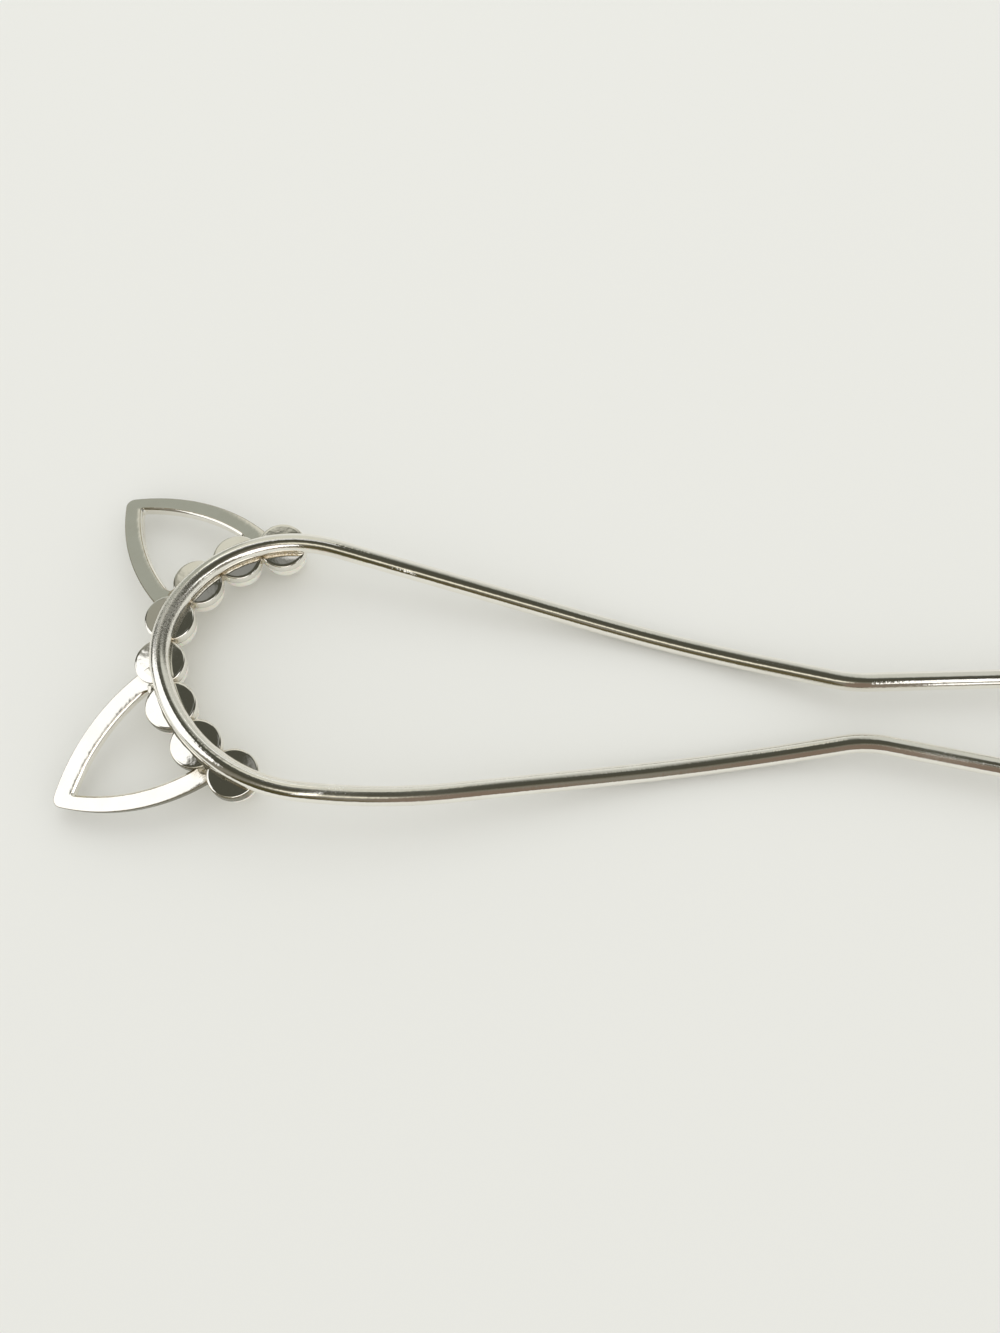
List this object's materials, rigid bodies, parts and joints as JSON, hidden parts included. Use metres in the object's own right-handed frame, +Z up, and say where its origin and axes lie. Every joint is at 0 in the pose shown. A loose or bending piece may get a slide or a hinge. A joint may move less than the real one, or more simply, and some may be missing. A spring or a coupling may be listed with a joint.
{
  "type": "hair stick",
  "caption": "Two-legged hair fork of bent plated wire with a row of pearl cups and a pair of open pointed cat ears on its bow, lying back up.",
  "frame": {"origin": "centre of the part's bounding box in plan, on the floor it rests on", "axes": "+X from the eared bow towards the leg ends, +Y towards the left leg, +Z up, out of the back of the head"},
  "size_m": [0.123, 0.0356, 0.0067],
  "materials": {
    "plated_metal": "polished silver plate over bent wire and soldered cups and ears",
    "pearl": "cream pearl lacquer with a soft sheen"
  },
  "bodies": {
    "root": {"fork_metal": "plated_metal", "pearl_1": "pearl", "pearl_2": "pearl", "pearl_3": "pearl", "pearl_4": "pearl", "pearl_5": "pearl", "pearl_6": "pearl", "pearl_7": "pearl", "pearl_8": "pearl"}
  },
  "joints": []
}
